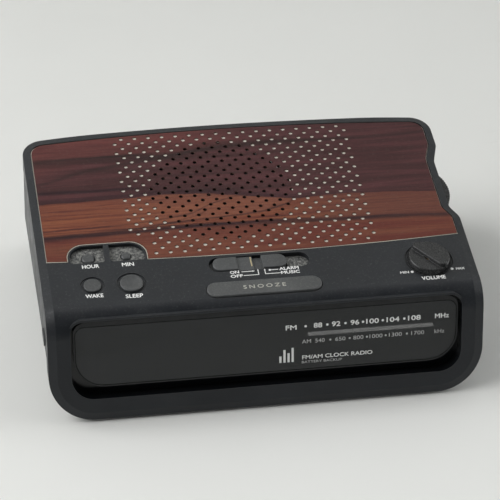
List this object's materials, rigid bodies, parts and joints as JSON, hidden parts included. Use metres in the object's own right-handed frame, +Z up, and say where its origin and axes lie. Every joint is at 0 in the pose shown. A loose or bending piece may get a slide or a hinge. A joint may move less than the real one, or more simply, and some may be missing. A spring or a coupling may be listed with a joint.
{
  "type": "clock radio",
  "caption": "Low wedge-shaped bedside clock radio with a wood-pattern perforated top, push buttons, slide switches, volume knob, side tuning wheel and a smoked dial window in the sloping face.",
  "frame": {"origin": "on the table, under the middle of the radio", "axes": "+Z up, +X to the right seen from the front, +Y towards the rear wall; the dial faces -Y"},
  "size_m": [0.2134, 0.147, 0.0652],
  "materials": {
    "cabinet_plastic": "satin moulded plastic",
    "wood_print": "printed rosewood pattern under clear film",
    "pad_white": "adhesive film",
    "lens_smoke": "smoked acrylic",
    "dial_black": "moulded plastic",
    "pointer_pale": "moulded plastic",
    "filter_red": "red film",
    "button_grey": "moulded plastic",
    "knob_black": "moulded plastic",
    "switch_black": "moulded plastic",
    "board_tan": "phenolic board",
    "steel": "plated steel",
    "brass": "turned brass",
    "chip_black": "moulded epoxy",
    "aluminium": "drawn can",
    "ferrite": "sintered ferrite",
    "winding": "enamelled wire",
    "cone_paper": "pressed paper",
    "rubber": "moulded rubber",
    "cord_pale": "braided cord",
    "battery_case": "printed sleeve"
  },
  "bodies": {
    "cabinet": {"adhesive_pad": "pad_white", "aerial_coil": "winding", "backup_battery": "battery_case", "band_switch": "steel", "battery_snap": "switch_black", "board_chips": "chip_black", "capacitors": "aluminium", "case_screws": "steel", "coil_cans": "steel", "control_board": "board_tan", "dial_cord": "cord_pale", "dial_lens": "lens_smoke", "dial_plate": "dial_black", "display_board": "board_tan", "display_filter": "filter_red", "ferrite_rod": "ferrite", "inner_screws": "steel", "led_display": "dial_black", "lower_cabinet": "cabinet_plastic", "main_board": "board_tan", "pulley_pins": "steel", "rubber_feet": "rubber", "slide_switches": "steel", "speaker_basket": "steel", "speaker_magnet": "ferrite", "tact_switches": "switch_black", "transformer_bracket": "steel", "transformer_coil": "winding", "transformer_core": "steel", "tuning_capacitor": "pad_white", "upper_cabinet": "cabinet_plastic", "volume_pot": "steel", "wood_inlay": "wood_print"},
    "volume_control": {"volume_knob": "knob_black", "volume_shaft": "brass"},
    "hour": {"hour_button": "button_grey", "hour_plunger": "switch_black"},
    "minute": {"minute_button": "button_grey", "minute_plunger": "switch_black"},
    "wake": {"wake_button": "button_grey", "wake_plunger": "switch_black"},
    "sleep": {"sleep_button": "button_grey", "sleep_plunger": "switch_black"},
    "snooze": {"snooze_bar": "button_grey", "snooze_plunger": "switch_black"},
    "power": {"power_slider": "button_grey", "power_lever": "switch_black"},
    "alarm": {"alarm_slider": "button_grey", "alarm_lever": "switch_black"},
    "band": {"band_slider": "button_grey"},
    "tuner": {"tuning_wheel": "knob_black", "tuning_shaft": "brass", "wheel_screw": "steel"},
    "pointer": {"dial_pointer": "pointer_pale"},
    "pulley_left": {"left_pulley": "switch_black"},
    "pulley_right": {"right_pulley": "switch_black"},
    "door": {"battery_door": "cabinet_plastic"},
    "cone": {"speaker_cone": "cone_paper", "dust_cap": "cone_paper"}
  },
  "joints": [
    {"name": "volume_turn", "type": "hinge", "parent": "cabinet", "child": "volume_control", "pos_m": [0.0832, -0.03598, 0.05407], "axis": [0, -0.1045, 0.9945], "range_deg": [-165.5, 89.5]},
    {"name": "hour_press", "type": "slide", "parent": "cabinet", "child": "hour", "axis": [0, 0.1045, -0.9945], "range_m": [0, 0.0008], "stiffness_N_per_m": 350},
    {"name": "minute_press", "type": "slide", "parent": "cabinet", "child": "minute", "axis": [0, 0.1045, -0.9945], "range_m": [0, 0.0008], "stiffness_N_per_m": 350},
    {"name": "wake_press", "type": "slide", "parent": "cabinet", "child": "wake", "axis": [0, 0.1045, -0.9945], "range_m": [0, 0.0008], "stiffness_N_per_m": 350},
    {"name": "sleep_press", "type": "slide", "parent": "cabinet", "child": "sleep", "axis": [0, 0.1045, -0.9945], "range_m": [0, 0.0008], "stiffness_N_per_m": 350},
    {"name": "snooze_press", "type": "slide", "parent": "cabinet", "child": "snooze", "axis": [0, 0.1045, -0.9945], "range_m": [0, 0.0008], "stiffness_N_per_m": 450},
    {"name": "power_slide", "type": "slide", "parent": "cabinet", "child": "power", "axis": [1, 0, 0], "range_m": [0, 0.003]},
    {"name": "alarm_slide", "type": "slide", "parent": "cabinet", "child": "alarm", "axis": [1, 0, 0], "range_m": [0, 0.0045]},
    {"name": "band_slide", "type": "slide", "parent": "cabinet", "child": "band", "axis": [0, 1, 0], "range_m": [0, 0.003]},
    {"name": "tuning_turn", "type": "hinge", "parent": "cabinet", "child": "tuner", "pos_m": [0.0852, 0.02011, 0.05997], "axis": [0, -0.1045, 0.9945], "range_deg": [-77.9, 102.1]},
    {"name": "pointer_travel", "type": "slide", "parent": "cabinet", "child": "pointer", "axis": [1, 0, 0], "range_m": [-0.0222, 0.0291]},
    {"name": "left_pulley_turn", "type": "hinge", "parent": "cabinet", "child": "pulley_left", "pos_m": [0.014, -0.04811, 0.0528], "axis": [0, -0.1045, 0.9945], "range_deg": [-316, 414]},
    {"name": "right_pulley_turn", "type": "hinge", "parent": "cabinet", "child": "pulley_right", "pos_m": [0.093, -0.04811, 0.0528], "axis": [0, -0.1045, 0.9945], "range_deg": [-316, 414]},
    {"name": "door_slide", "type": "slide", "parent": "cabinet", "child": "door", "axis": [0, -1, 0], "range_m": [0, 0.006]},
    {"name": "cone_stroke", "type": "slide", "parent": "cabinet", "child": "cone", "axis": [0, -0.1045, 0.9945], "range_m": [-0.0006, 0.0006], "stiffness_N_per_m": 1500}
  ],
  "couplings": [
    {"joint": "pointer_travel", "follows": "tuning_turn", "m_per_rad": 0.01625},
    {"joint": "left_pulley_turn", "follows": "tuning_turn", "ratio": 4.0123},
    {"joint": "right_pulley_turn", "follows": "tuning_turn", "ratio": 4.0123}
  ]
}
